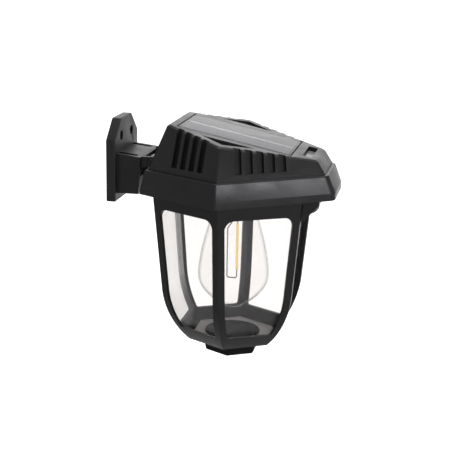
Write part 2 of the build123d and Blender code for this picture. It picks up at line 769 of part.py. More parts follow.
def switch_board():
    """The small board that carries the switch, on two posts of the housing."""
    high = -switch_depth()
    middle = along_top(BUTTON_X)
    half = SWITCH_BOARD_W / 2
    across = SWITCH_BOARD_L / 2
    low = high - CONTROL_BOARD_T
    board = block((middle - half, middle + half), (-across, across), (low, high))
    hole = rod_z(low - OVER, high + OVER, middle, SWITCH_POST_Y, SMALL_SCREW_R + SCREW_FIT)
    return TOP_PLANE * (board - both_sides(hole))


def switch_board_screws():
    """Two small screws that hold the switch board up to its posts."""
    seat = -switch_depth() - CONTROL_BOARD_T
    middle = along_top(BUTTON_X)
    shank = rod_z(seat, seat + SWITCH_SCREW_L, middle, SWITCH_POST_Y, SMALL_SCREW_R)
    head = rod_z(seat - SMALL_HEAD_T, seat, middle, SWITCH_POST_Y, SMALL_HEAD_R)
    return TOP_PLANE * both_sides(shank + head)


def rim_gasket():
    """The flat seal between the tray and the housing's shoulder."""
    outer = moved(RIM_OFFSETS, -RIM_WALL - TRAY_FIT)
    inner = moved(RIM_OFFSETS, -RIM_WALL - SHOULDER_W)
    height = SEAT_Z - TRAY_T
    ring = extrude(six_sided(outer, [INNER_CORNER_R] * 6, TRAY_T), height, dir=(0, 0, 1))
    hole = extrude(six_sided(inner, [INNER_CORNER_R] * 6, TRAY_T), height, dir=(0, 0, 1))
    for x, y in TRAY_SCREWS:
        hole = hole + rod_z(TRAY_T, SEAT_Z, x, y, TRAY_BOSS_R + TRAY_FIT)
    for x, y in boss_places():
        hole = hole + rod_z(TRAY_T, SEAT_Z, x, y, SCREW_HEAD_R + SCREW_FIT)
    return ring - hole


def control_posts():
    """The axes of the control board's four posts."""
    low_x, high_x, half_y = CONTROL_BOARD
    reach = half_y - CONTROL_POST_IN
    xs = (low_x + CONTROL_POST_IN, high_x - CONTROL_POST_IN)
    return [(x, side * reach) for x in xs for side in (-1, 1)]


def base_tray():
    """The plate that closes the rim from below and carries the lamp, the board and the battery."""
    plan = six_sided(moved(RIM_OFFSETS, -RIM_WALL - TRAY_FIT), [INNER_CORNER_R] * 6, 0)
    tray = extrude(plan, TRAY_T, dir=(0, 0, 1)) - rod_z(-OVER, TRAY_T + OVER, 0, 0, TRAY_HOLE_R)
    for x, y in control_posts():
        tray = tray + rod_z(TRAY_T - SINK / 2, TRAY_T + CONTROL_POST_H, x, y, CONTROL_POST_R)
        tray = tray - rod_z(TRAY_T, TRAY_T + CONTROL_POST_H + OVER, x, y, SMALL_SCREW_R + SCREW_FIT)
    for x, y in TRAY_SCREWS:
        tray = tray - rod_z(-OVER, TRAY_T + OVER, x, y, SCREW_R + SCREW_FIT)
        tray = tray - rod_z(-OVER, SCREW_HEAD_T, x, y, SCREW_HEAD_R + SCREW_FIT)
    for x, y in boss_places():
        tray = tray - rod_z(-OVER, TRAY_T + OVER, x, y, SCREW_R + SCREW_FIT)
    for side in (-1, 1):
        tray = tray - rod_z(-OVER, TRAY_T + OVER, SENSOR_POST_X, side * SENSOR_POST_Y, SCREW_R + SCREW_FIT)
        tray = tray - rod_z(SOCKET_PILOT_LOW, TRAY_T + OVER, 0, side * SOCKET_SCREW_Y, SCREW_R + SCREW_FIT)
    return tray - Pos(LEAD_SLOT_X, 0, TRAY_T / 2) * Box(LEAD_SLOT_W, LEAD_SLOT_L, 2 * TRAY_T)


def tray_screws():
    """Six screws, driven from below into the housing's bosses."""
    group = []
    head_t = SCREW_HEAD_T - SCREW_FIT
    for x, y in TRAY_SCREWS:
        upright = screw(x, -y, -SCREW_HEAD_T, -TRAY_SCREW_TIP, SCREW_R, SCREW_HEAD_R, head_t)
        group.append(Rot(X=180) * upright)
    return Compound(group)


def cage_screws():
    """Three screws, driven from inside the tray into the cage's bosses."""
    tip = -CAGE_BOSS_H + CAGE_SCREW_SHORT
    group = []
    for x, y in boss_places():
        group.append(screw(x, y, TRAY_T, tip, SCREW_R, SCREW_HEAD_R, SCREW_HEAD_T))
    return Compound(group)


def cage():
    """The six-sided lantern frame: top band, six curved ribs and a floor."""
    frame = lantern_body(0.0, 0.0, CAGE_END_Z)
    frame = frame - lantern_body(CAGE_WALL, OVER, CAGE_END_Z + CAGE_FLOOR_T)
    window = cage_window()
    for side in range(6):
        frame = frame - Rot(Z=60 * side) * window
    for x, y in boss_places():
        frame = frame + rod_z(-CAGE_BOSS_H, 0, x, y, CAGE_BOSS_R)
    corner = (lantern_half_width(-CAGE_BOSS_H) - CAGE_WALL / 2) / cos(radians(30))
    rib_low = min(CAGE_BOSS_RADIUS, corner)
    rib_high = max(CAGE_BOSS_RADIUS, corner)
    for angle in CAGE_BOSS_ANGLES:
        rib = block((rib_low, rib_high), (-CAGE_BOSS_RIB_T / 2, CAGE_BOSS_RIB_T / 2), (-CAGE_BOSS_H, 0))
        frame = frame + Rot(Z=angle) * rib
    for x, y in boss_places():
        frame = frame - rod_z(-CAGE_BOSS_H + CAGE_PILOT_FLOOR, OVER, x, y, SCREW_R + SCREW_FIT)
    return frame - rod_z(CAGE_END_Z - OVER, 0, 0, 0, SCREW_R + SCREW_FIT)


def clear_shade():
    """The clear six-sided sleeve behind the cage's openings."""
    floor_top = CAGE_END_Z + CAGE_FLOOR_T + FLOOR_T
    outer = CAGE_WALL + SHADE_FIT
    sleeve = lantern_body(outer, SHADE_TOP, floor_top)
    sleeve = sleeve - lantern_body(outer + SHADE_T, OVER, floor_top - OVER)
    for x, y in boss_places():
        sleeve = sleeve - rod_z(-CAGE_BOSS_H - OVER, OVER, x, y, CAGE_BOSS_R + 2 * SHADE_FIT)
    return sleeve


def floor_plate():
    """The pale plate inside the bottom of the cage, under the shade."""
    low = CAGE_END_Z + CAGE_FLOOR_T
    apothem = lantern_half_width(low) - CAGE_WALL - FLOOR_FIT
    plan = Pos(0, 0, low) * RegularPolygon(apothem, 6, major_radius=False, rotation=30)
    hole = rod_z(low - OVER, low + FLOOR_T + OVER, 0, 0, FOOT_SCREW_HEAD_R + FLOOR_FIT)
    return extrude(plan, FLOOR_T, dir=(0, 0, 1)) - hole


def floor_disc():
    """The dark round disc on the floor plate."""
    low = CAGE_END_Z + CAGE_FLOOR_T + FLOOR_T
    return rod_z(low, low + DISC_T, 0, 0, DISC_R)


def foot_screw():
    """The screw that holds the foot up to the cage's floor."""
    seat = CAGE_END_Z + CAGE_FLOOR_T
    return screw(0, 0, seat, seat - FOOT_SCREW_L, SCREW_R, FOOT_SCREW_HEAD_R, FLOOR_T)


def cage_foot():
    """The small six-sided foot below the cage."""
    low = CAGE_END_Z - FOOT_H
    sections = [
        Pos(0, 0, CAGE_END_Z) * RegularPolygon(FOOT_TOP_R, 6, rotation=30),
        Pos(0, 0, low) * RegularPolygon(FOOT_LOW_R, 6, rotation=30),
    ]
    foot = loft(sections, ruled=True)
    foot = chamfer(foot.faces().sort_by(Axis.Z)[0].edges(), FOOT_BEVEL)
    return foot - rod_z(CAGE_END_Z - FOOT_PILOT_DEPTH, CAGE_END_Z + OVER, 0, 0, SCREW_R + SCREW_FIT)


def sensor_slope():
    """Unit vectors up along the sensor housing's front and out of it, in X and Z."""
    run_x = SENSOR_LIP[0] - SENSOR_TIP[0]
    run_z = SENSOR_LIP[1] - SENSOR_TIP[1]
    length = sqrt(run_x ** 2 + run_z ** 2)
    return (run_x / length, run_z / length), (run_z / length, -run_x / length)


def lens_place():
    """The place of the lens: X up along the sensor's front, Z out of it."""
    along, out = sensor_slope()
    origin = (SENSOR_TIP[0] + LENS_ALONG * along[0], 0, SENSOR_TIP[1] + LENS_ALONG * along[1])
    return Plane(origin=origin, x_dir=(along[0], 0, along[1]), z_dir=(out[0], 0, out[1])).location


def sensor_housing():
    """The wedge under the rim that carries the motion sensor, open to the tray."""
    outline = [(SENSOR_BACK_TOP, 0), (SENSOR_LIP[0], 0), SENSOR_LIP, SENSOR_TIP]
    wedge = slice_y(outline, -SENSOR_HALF_W, SENSOR_HALF_W)
    along, out = sensor_slope()
    inner_x = SENSOR_LIP[0] - SENSOR_WALL
    tip_in = (SENSOR_TIP[0] - SENSOR_WALL * out[0], SENSOR_TIP[1] - SENSOR_WALL * out[1])
    lip_z = tip_in[1] + (inner_x - tip_in[0]) * along[1] / along[0]
    inner_half = SENSOR_HALF_W - SENSOR_WALL
    behind_x = SENSOR_TIP[0] - 2 * SENSOR_WALL
    hollow = slice_y(
        [(behind_x, OVER), (inner_x, OVER), (inner_x, lip_z), tip_in, (behind_x, tip_in[1])],
        -inner_half, inner_half,
    )
    posts = both_sides(rod_z(-SENSOR_POST_H, 0, SENSOR_POST_X, SENSOR_POST_Y, SENSOR_POST_R))
    pilot_low = -SENSOR_POST_H + SENSOR_PILOT_FLOOR
    pilots = both_sides(rod_z(pilot_low, OVER, SENSOR_POST_X, SENSOR_POST_Y, SCREW_R + SCREW_FIT))
    place = lens_place()
    post_top = -SENSOR_WALL + SINK / 2
    board_posts = both_sides(rod_z(-PIR_BOARD_DEPTH, post_top, PIR_POST_X, PIR_POST_Y, PIR_POST_R))
    window = rod_z(-2 * LENS_RISE, 2 * LENS_RISE, 0, 0, LENS_R + RUNNING_FIT)
    rib_x = (SENSOR_POST_X - SENSOR_RIB_T / 2, SENSOR_POST_X + SENSOR_RIB_T / 2)
    end_ribs = both_sides(block(rib_x, (SENSOR_POST_Y, inner_half + SINK), (-SENSOR_POST_H, 0)))
    body = wedge - hollow + posts + end_ribs - pilots + place * board_posts - place * window
    for x, y in boss_places():
        body = body - rod_z(-CAGE_BOSS_H - SENSOR_FIT, OVER, x, y, CAGE_BOSS_R + SENSOR_FIT)
    return body


def pir_lens():
    """The domed lens in the sensor's sloping front."""
    ball_r = (LENS_R ** 2 + LENS_RISE ** 2) / (2 * LENS_RISE)
    centre = LENS_RISE - ball_r
    clip = rod_z(0, 2 * LENS_R, 0, 0, LENS_R)
    dome = (Pos(0, 0, centre) * Sphere(ball_r)) & clip
    skirt = rod_z(-SENSOR_WALL, 0.01, 0, 0, LENS_R)
    hollow = (Pos(0, 0, centre) * Sphere(ball_r - LENS_T)) & rod_z(-OVER, 2 * LENS_R, 0, 0, LENS_R)
    bore = rod_z(-SENSOR_WALL - OVER, SINK / 2, 0, 0, LENS_R - LENS_RIM_W)
    return lens_place() * (dome + skirt - hollow - bore)


def pir_sensor():
    """The sensor can behind the lens."""
    return lens_place() * rod_z(-PIR_BOARD_DEPTH, -PIR_BOARD_DEPTH + PIR_H, PIR_X, 0, PIR_R)


def sensor_board():
    """The small board of the motion sensor."""
    low = -PIR_BOARD_DEPTH - PIR_BOARD_T
    span_x = (PIR_BOARD_LOW, PIR_BOARD_HIGH)
    board = block(span_x, (-PIR_BOARD_HALF, PIR_BOARD_HALF), (low, -PIR_BOARD_DEPTH))
    return lens_place() * board


def sensor_screws():
    """Two screws from inside the tray into the sensor housing."""
    tip = -SENSOR_POST_H + SINK
    one = screw(SENSOR_POST_X, SENSOR_POST_Y, TRAY_T, tip, SCREW_R, SCREW_HEAD_R, SCREW_HEAD_T)
    return both_sides(one)


def lamp_socket():
    """The lamp holder on the tray, a cup with a flange."""
    flange = rod_z(TRAY_T, TRAY_T + SOCKET_FLANGE_T, 0, 0, SOCKET_FLANGE_R)
    cup = rod_z(TRAY_T, SOCKET_TOP, 0, 0, SOCKET_R)
    bore = rod_z(TRAY_T - OVER, CONTACT_TOP, 0, 0, SOCKET_BORE_R)
    holes = both_sides(rod_z(0, TRAY_T + SOCKET_FLANGE_T + OVER, 0, SOCKET_SCREW_Y, SCREW_R + SCREW_FIT))
    return flange + cup - bore - holes


def socket_screws():
    """Two screws that hold the lamp holder's flange to the tray."""
    seat = TRAY_T + SOCKET_FLANGE_T
    return both_sides(screw(0, SOCKET_SCREW_Y, seat, SOCKET_SCREW_TIP, SCREW_R, SCREW_HEAD_R, SCREW_HEAD_T))


def bulb_solid(points, neck_r, neck_z, end_z):
    """A closed bulb turned from its outline."""
    outline = [
        Line((0, neck_z), (neck_r, neck_z)),
        Spline((neck_r, neck_z), *points, (0, end_z), tangents=[(0.25, -1), (-1, 0)]),
        Line((0, end_z), (0, neck_z)),
    ]
    return revolve(Plane.XZ * make_face(outline), Axis.Z)


def bulb_glass():
    """The tapering glass of the lamp."""
    outer = bulb_solid(BULB_PROFILE, *BULB_NECK, BULB_END_Z)
    inner_points = []
    for radius, z in BULB_PROFILE:
        drop = max(0.0, BULB_BELLY_Z - z)
        reach = sqrt(radius ** 2 + drop ** 2)
        inner_points.append((radius - BULB_GLASS_T * radius / reach, z + BULB_GLASS_T * drop / reach))
    neck_r, neck_z = BULB_NECK
    inner = bulb_solid(inner_points, neck_r - BULB_GLASS_T, neck_z, BULB_END_Z + BULB_GLASS_T)
    return outer - inner


def bulb_cap():
    """The metal screw cap with its end contact."""
    outer = rod_z(BULB_NECK[1], CAP_TOP, 0, 0, CAP_R)
    outer = chamfer(outer.edges().group_by(Axis.Z)[-1], CAP_BEVEL)
    inner = rod_z(BULB_NECK[1] - OVER, CAP_TOP - CAP_BEVEL, 0, 0, CAP_R - CAP_WALL)
    contact = rod_z(CAP_TOP - SINK, CONTACT_TOP, 0, 0, CONTACT_R)
    return outer - inner + contact


def glass_stem():
    """The glass stem that holds the filament's leads."""
    taper = revolve(
        Plane.XZ * Polygon((0, BULB_NECK[1]), (STEM_TOP_R, BULB_NECK[1]), (STEM_LOW_R, STEM_NECK_Z),
                           (STEM_LOW_R, STEM_END_Z), (0, STEM_END_Z), align=None),
        Axis.Z,
    )
    seat = rod_z(BULB_NECK[1], BULB_NECK[1] + STEM_SEAT_T, 0, 0, CAP_R - CAP_WALL)
    return taper + seat


def filament_wires():
    """The two leads: a short one to the filament's top and a long one round to its lower end."""
    bead = WIRE_R * 2
    route = FilletPolyline(
        (WIRE_X / 3, 0, STEM_END_Z),
        (WIRE_X / 3, 0, STEM_END_Z - WIRE_DROP),
        (WIRE_X, 0, STEM_END_Z - 3 * WIRE_DROP),
        (WIRE_X, 0, WIRE_LOW),
        (FILAMENT_X, 0, WIRE_LOW),
        (FILAMENT_X, 0, FILAMENT_END),
        radius=WIRE_BEND_R,
    )
    start = Plane(origin=route @ 0, z_dir=route % 0)
    long_lead = sweep(start * Circle(WIRE_R), path=route)
    short_lead = rod_z(FILAMENT_TOP, STEM_END_Z, FILAMENT_X, 0, WIRE_R)
    bridge = block((WIRE_X / 3 - bead, FILAMENT_X + bead), (-bead, bead), (STEM_END_Z - bead / 2, STEM_END_Z))
    return long_lead + short_lead + bridge


def led_filament():
    """The glowing strip of the lamp."""
    strip = block(
        (FILAMENT_X - FILAMENT_W / 2, FILAMENT_X + FILAMENT_W / 2),
        (-FILAMENT_T / 2, FILAMENT_T / 2),
        (FILAMENT_END, FILAMENT_TOP),
    )
    return fillet(strip.edges().filter_by(Axis.Z), FILAMENT_T / 3)


def battery():
    """The round cell."""
    lift = TRAY_T + BATTERY_LIFT + BATTERY_R
    half = BATTERY_L / 2
    return rod_y(-half, half, BATTERY_X, lift, BATTERY_R)


def battery_holder():
    """The cradle under the battery."""
    lift = TRAY_T + BATTERY_LIFT + BATTERY_R
    cradle = block(
        (BATTERY_X - HOLDER_HALF_X, BATTERY_X + HOLDER_HALF_X),
        (-HOLDER_HALF_Y, HOLDER_HALF_Y),
        (TRAY_T, TRAY_T + HOLDER_H),
    )
    half = BATTERY_L / 2 + 2 * HOLDER_FIT
    cradle = cradle - rod_y(-half, half, BATTERY_X, lift, BATTERY_R + HOLDER_FIT)
    for x, y in boss_places():
        cradle = cradle - rod_z(TRAY_T - OVER, TRAY_T + HOLDER_H + OVER, x, y, SCREW_HEAD_R + SCREW_FIT)
    return cradle


def control_board():
    """The charging and control board on its four posts."""
    low_x, high_x, half_y = CONTROL_BOARD
    low = TRAY_T + CONTROL_POST_H
    board = block((low_x, high_x), (-half_y, half_y), (low, low + CONTROL_BOARD_T))
    for x, y in control_posts():
        board = board - rod_z(low - OVER, low + CONTROL_BOARD_T + OVER, x, y, SMALL_SCREW_R + SCREW_FIT)
    return board


def board_screws():
    """Four small screws that hold the control board down."""
    seat = TRAY_T + CONTROL_POST_H + CONTROL_BOARD_T
    group = []
    for x, y in control_posts():
        group.append(screw(x, y, seat, TRAY_T + SINK, SMALL_SCREW_R, SMALL_HEAD_R, SMALL_HEAD_T))
    return Compound(group)


PIECES = (
    wall_bracket, hinge_bolt, hinge_nut, hinge_washers,
    roof_housing, panel_seal, solar_board, solar_cells, cell_busbar, panel_cover,
    mode_button, switch_plunger, tactile_switch, switch_board, switch_board_screws,
    rim_gasket, base_tray, tray_screws,
    sensor_housing, pir_lens, pir_sensor, sensor_board, sensor_screws,
    cage, cage_screws, clear_shade, floor_plate, floor_disc, foot_screw, cage_foot,
    lamp_socket, socket_screws, bulb_cap, bulb_glass, glass_stem, filament_wires, led_filament,
    battery, battery_holder, control_board, board_screws,
)


def main():
    """Builds every piece, shifts it to the wall's origin and writes it."""
    os.makedirs("parts", exist_ok=True)
    to_wall = Pos(-WALL_X, 0, -SCREW_Z)
    for piece in PIECES:
        export_step(to_wall * piece(), f"parts/{piece.__name__}.step")


main()
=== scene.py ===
"""Looks of a solar wall lantern: a six-sided lantern with a solar roof on a tilting wall bracket.

Every length in this file is in metres unless its name ends in _mm, and every place is in the
lantern's row frame: the origin is on the wall, midway between the two screw holes, +X points away
from the wall and +Z up.
"""

import logging
import math
from collections.abc import Sequence
from dataclasses import dataclass
from enum import Enum

import bmesh
import bpy
import numpy as np
from mathutils import Matrix, Vector

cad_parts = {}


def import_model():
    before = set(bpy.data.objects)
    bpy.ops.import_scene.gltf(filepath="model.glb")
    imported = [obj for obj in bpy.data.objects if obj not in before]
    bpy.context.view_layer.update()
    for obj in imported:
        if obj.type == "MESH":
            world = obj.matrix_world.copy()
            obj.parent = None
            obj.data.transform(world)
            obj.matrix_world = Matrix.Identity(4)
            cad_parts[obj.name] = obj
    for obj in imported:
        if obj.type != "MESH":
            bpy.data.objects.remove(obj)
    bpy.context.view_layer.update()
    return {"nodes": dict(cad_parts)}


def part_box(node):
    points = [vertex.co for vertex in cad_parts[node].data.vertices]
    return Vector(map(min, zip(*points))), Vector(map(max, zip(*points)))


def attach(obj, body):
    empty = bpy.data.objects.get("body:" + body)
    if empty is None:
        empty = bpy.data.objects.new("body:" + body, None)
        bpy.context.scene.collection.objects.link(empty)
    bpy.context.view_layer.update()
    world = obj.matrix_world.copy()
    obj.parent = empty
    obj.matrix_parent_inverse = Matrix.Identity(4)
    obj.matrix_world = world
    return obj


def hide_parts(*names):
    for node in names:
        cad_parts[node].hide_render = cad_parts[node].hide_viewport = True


LOG = logging.getLogger("wall_lantern")
MM = 0.001
MERGE_DISTANCE = 1e-7
BEVEL_SAMPLES = 4

Triple = tuple[float, float, float]
Colour = Triple
Span = tuple[float, float]
Socket = bpy.types.NodeSocket

# Spans of a noise's value, which is about 0.5 on average; EDGES is one of a cosine.
MIDDLE: Span = (0.3, 0.7)
SPECKS: Span = (0.62, 0.8)
SCUFFS: Span = (0.55, 0.75)
BLOTCHES: Span = (0.4, 0.65)
EDGES: Span = (0.9, 0.995)


class Body(Enum):
    """The moving bodies of the lantern."""

    BRACKET = "bracket"
    LANTERN = "lantern"
    BUTTON = "button"


class Fade(Enum):
    """How a value changes across a span."""

    EVEN = "LINEAR"
    SMOOTH = "SMOOTHSTEP"


class Recipe:
    """A material under construction: a node tree around one Principled shader."""

    def __init__(self, name: str) -> None:
        """Starts an empty material.

        Args:
            name: the material's name.
        """
        self.material = bpy.data.materials.new(name)
        self.material.use_nodes = True
        self.tree = self.material.node_tree
        self.shader = self.tree.nodes["Principled BSDF"]
        self.place = self.add("ShaderNodeTexCoord").outputs["Object"]

    def add(
        self, kind: str, sockets: dict[str | int, object] | None = None, **settings: object
    ) -> bpy.types.Node:
        """Adds a node.

        Args:
            kind: the node's type name.
            sockets: values or other nodes' outputs for its inputs, by name or number.
            settings: properties of the node itself.

        Returns:
            The new node.
        """
        node = self.tree.nodes.new(kind)
        for key, value in settings.items():
            setattr(node, key, value)
        for key, value in (sockets or {}).items():
            self.feed(node.inputs[key], value)
        return node

    def feed(self, socket: Socket, value: object) -> None:
        """Links an output into a socket, or sets the socket's own value.

        Args:
            socket: the input.
            value: an output or a plain value.
        """
        if isinstance(value, bpy.types.NodeSocket):
            self.tree.links.new(value, socket)
        else:
            socket.default_value = value

    def surface(self, **values: object) -> None:
        """Sets or links the Principled shader's sockets, with underscores for their spaces."""
        for key, value in values.items():
            self.feed(self.shader.inputs[key.replace("_", " ")], value)

    def noise(
        self, size_mm: float, detail: float = 4.0, rough: float = 0.55, stretch: Triple = (1, 1, 1)
    ) -> Socket:
        """A noise of one value at each place on the solid.

        Args:
            size_mm: the width of its features.
            detail: how many finer layers it has.
            rough: how strong the finer layers are.
            stretch: factors on the three directions.

        Returns:
            The noise's value, about 0.5 on average.
        """
        spot = self.add("ShaderNodeMapping", {"Vector": self.place, "Scale": stretch}).outputs[0]
        scale = 1 / (size_mm * MM)
        sockets = {"Vector": spot, "Scale": scale, "Detail": detail, "Roughness": rough}
        return self.add("ShaderNodeTexNoise", sockets).outputs["Fac"]

    def between(
        self, value: Socket, low: float, high: float, span: Span = MIDDLE, fade: Fade = Fade.EVEN
    ) -> Socket:
        """Carries a value from a span to low..high.

        Args:
            value: what is carried over.
            low: the result at the span's start.
            high: the result at its end.
            span: the values between which the result changes.
            fade: how it changes.

        Returns:
            The result, which stays at low or high outside the span.
        """
        start, end = span
        source = {"Value": value, "From Min": start, "From Max": end}
        sockets = {**source, "To Min": low, "To Max": high}
        return self.add("ShaderNodeMapRange", sockets, interpolation_type=fade.value).outputs[0]

    def maths(
        self, operation: str, first: object, second: object = 0.0, third: object = 0.0
    ) -> Socket:
        """One step of arithmetic."""
        sockets = {0: first, 1: second, 2: third}
        return self.add("ShaderNodeMath", sockets, operation=operation).outputs[0]

    def blend(self, share: object, first: object, second: object) -> Socket:
        """Mixes two colours.

        Args:
            share: 0 for the first colour, 1 for the second.
            first: a colour or an output.
            second: a colour or an output.

        Returns:
            The mixed colour.
        """
        node = self.add("ShaderNodeMix", data_type="RGBA")
        self.feed(node.inputs["Factor"], share)
        for name, value in (("A", first), ("B", second)):
            socket = [s for s in node.inputs if s.name == name and s.type == "RGBA"][0]
            if isinstance(value, tuple):
                value = (*value, 1.0)
            self.feed(socket, value)
        return [s for s in node.outputs if s.type == "RGBA"][0]

    def relief(self, height: Socket, depth_mm: float, under: Socket | None = None) -> Socket:
        """A bumped normal.

        Args:
            height: the height pattern, 0 to 1.
            depth_mm: how deep a full step of the pattern is.
            under: a normal to start from.

        Returns:
            The new normal.
        """
        sockets = {"Height": height, "Distance": depth_mm * MM, "Strength": 1.0}
        if under is not None:
            sockets["Normal"] = under
        return self.add("ShaderNodeBump", sockets).outputs[0]

    def soft_edges(self, radius_mm: float) -> Socket:
        """A normal that rounds the edges of the solid over a small radius."""
        sockets = {"Radius": radius_mm * MM}
        return self.add("ShaderNodeBevel", sockets, samples=BEVEL_SAMPLES).outputs[0]

    def slant(self, power: float) -> Socket:
        """How grazing the surface is seen: 0 head on, 1 along it, raised to a power."""
        facing = self.add("ShaderNodeLayerWeight", {"Blend": 0.5}).outputs["Facing"]
        return self.maths("POWER", facing, power)

    def let_through(self, share: object, tint: object) -> None:
        """Shows what lies behind the surface.

        Args:
            share: how much of the Principled shader covers the view, 0 to 1.
            tint: the colour that the surface gives to what is seen through it.
        """
        see = self.add("ShaderNodeBsdfTransparent", {"Color": tint})
        sockets = {0: share, 1: see.outputs[0], 2: self.shader.outputs[0]}
        mixed = self.add("ShaderNodeMixShader", sockets)
        self.feed(self.tree.nodes["Material Output"].inputs["Surface"], mixed.outputs[0])

    def edge_wear(self, rounded: Socket) -> Socket:
        """Where a rounded normal departs from the flat one.

        Args:
            rounded: the normal from soft_edges.

        Returns:
            A share, 0 on faces and 1 on edges.
        """
        flat = self.add("ShaderNodeNewGeometry").outputs["Normal"]
        dot = self.add("ShaderNodeVectorMath", {0: flat, 1: rounded}, operation="DOT_PRODUCT")
        return self.between(dot.outputs["Value"], 1.0, 0.0, EDGES)


@dataclass(frozen=True)
class MouldedPlastic:
    """Opaque moulded plastic with a fine grain, faint flow marks, rubbed edges and some dust."""

    name: str
    colour: Colour
    worn: Colour
    roughness: float = 0.42
    spread: float = 0.07
    grain_mm: float = 0.8
    grain_depth_mm: float = 0.05
    wave_mm: float = 14.0
    wave_depth_mm: float = 0.035
    edge_mm: float = 0.35
    wear: float = 0.35
    worn_mm: float = 6.0
    patch_mm: float = 22.0
    patch_shade: float = 0.78
    dust: float = 0.25
    dust_mm: float = 1.4
    dust_gain: float = 2.1
    dust_lift: float = 0.004
    scuff_mm: float = 2.2
    scuff_stretch: Triple = (1.0, 1.0, 6.0)
    gloss: float = 0.5

    def make(self) -> bpy.types.Material:
        """Builds the material.

        Returns:
            The finished material.
        """
        recipe = Recipe(self.name)
        rounded = recipe.soft_edges(self.edge_mm)
        rub = recipe.edge_wear(rounded)
        patches = recipe.noise(self.patch_mm, detail=5.0)
        blotches = recipe.between(recipe.noise(self.worn_mm, detail=6.0), 0.0, self.wear, BLOTCHES)
        worn_share = recipe.maths("MULTIPLY", rub, blotches)
        darker = tuple(part * self.patch_shade for part in self.colour)
        dusty = tuple(part * self.dust_gain + self.dust_lift for part in self.colour)
        base = recipe.blend(recipe.between(patches, 0.0, 1.0), self.colour, darker)
        specks = recipe.noise(self.dust_mm, detail=3.0, rough=0.7)
        base = recipe.blend(recipe.between(specks, 0.0, self.dust, SPECKS), base, dusty)
        base = recipe.blend(worn_share, base, self.worn)
        rough = recipe.between(patches, self.roughness - self.spread, self.roughness + self.spread)
        scratches = recipe.noise(self.scuff_mm, detail=5.0, rough=0.6, stretch=self.scuff_stretch)
        scuffs = recipe.between(scratches, 0.0, self.spread, SCUFFS)
        flow = recipe.relief(recipe.noise(self.wave_mm, detail=2.0), self.wave_depth_mm, rounded)
        grain = recipe.noise(self.grain_mm, detail=3.0, rough=0.6)
        recipe.surface(
            Base_Color=base,
            Roughness=recipe.maths("ADD", rough, scuffs),
            Normal=recipe.relief(grain, self.grain_depth_mm, flow),
            Specular_IOR_Level=self.gloss,
        )
        return recipe.material


@dataclass(frozen=True)
class ClearSheet:
    """A thin wall of clear plastic or glass, with faint moulding ripples, scuffs and some dust."""

    name: str
    tint: Colour
    # Colour of what is seen through at grazing angles: painted shade for the dark outline, partly
    # the real loss along the longer path.
    rim_shade: Colour
    rim_power: float = 3.0
    head_on: float = 0.05
    haze: float = 0.0
    haze_roughness: float = 0.45
    gloss_roughness: float = 0.04
    ripple_mm: float = 18.0
    ripple_depth_mm: float = 0.03
    dust: float = 0.06
    dust_mm: float = 1.1
    scuff: float = 0.03
    scuff_mm: float = 5.0
    scuff_stretch: Triple = (1.0, 1.0, 0.15)
    mirror_power: float = 5.0
    mirror_tint: Colour = (0.92, 0.92, 0.93)

    def make(self) -> bpy.types.Material:
        """Builds the material.

        Returns:
            The finished material.
        """
        recipe = Recipe(self.name)
        grazing = recipe.slant(self.mirror_power)
        mirror = recipe.maths("MULTIPLY_ADD", grazing, 1.0 - self.head_on, self.head_on + self.haze)
        specks = recipe.noise(self.dust_mm, detail=3.0, rough=0.7)
        dust = recipe.between(specks, 0.0, self.dust, SPECKS)
        scratches = recipe.noise(self.scuff_mm, detail=5.0, rough=0.6, stretch=self.scuff_stretch)
        scuffs = recipe.between(scratches, 0.0, self.scuff, SCUFFS)
        share = recipe.maths("ADD", recipe.maths("ADD", mirror, dust), scuffs)
        ripples = recipe.noise(self.ripple_mm, detail=2.0)
        recipe.surface(
            Base_Color=(*self.mirror_tint, 1.0),
            Metallic=1.0,
            Roughness=recipe.between(recipe.slant(1.0), self.haze_roughness, self.gloss_roughness),
            Normal=recipe.relief(ripples, self.ripple_depth_mm),
        )
        # Painted shade: what is seen through darkens towards the grazing outline.
        tint = recipe.blend(recipe.slant(self.rim_power), self.tint, self.rim_shade)
        recipe.let_through(share, tint)
        return recipe.material


@dataclass(frozen=True)
class Metal:
    """Plated or drawn metal with brushing and a few dull spots."""

    name: str
    colour: Colour
    roughness: float = 0.32
    smoother: float = 0.08
    rougher: float = 0.12
    brush: Triple = (1.0, 12.0, 1.0)
    brush_mm: float = 1.2
    brush_depth_mm: float = 0.01
    edge_mm: float = 0.2
    spot_mm: float = 2.5
    spot_share: float = 0.5
    spot_shade: float = 0.6

    def make(self) -> bpy.types.Material:
        """Builds the material.

        Returns:
            The finished material.
        """
        recipe = Recipe(self.name)
        brushing = recipe.noise(self.brush_mm, rough=0.6, stretch=self.brush)
        spots = recipe.between(recipe.noise(self.spot_mm, detail=5.0), 0.0, self.spot_share, SCUFFS)
        dull = tuple(part * self.spot_shade for part in self.colour)
        least, most = self.roughness - self.smoother, self.roughness + self.rougher
        recipe.surface(
            Base_Color=recipe.blend(spots, self.colour, dull),
            Metallic=1.0,
            Roughness=recipe.between(brushing, least, most),
            Normal=recipe.relief(brushing, self.brush_depth_mm, recipe.soft_edges(self.edge_mm)),
        )
        return recipe.material


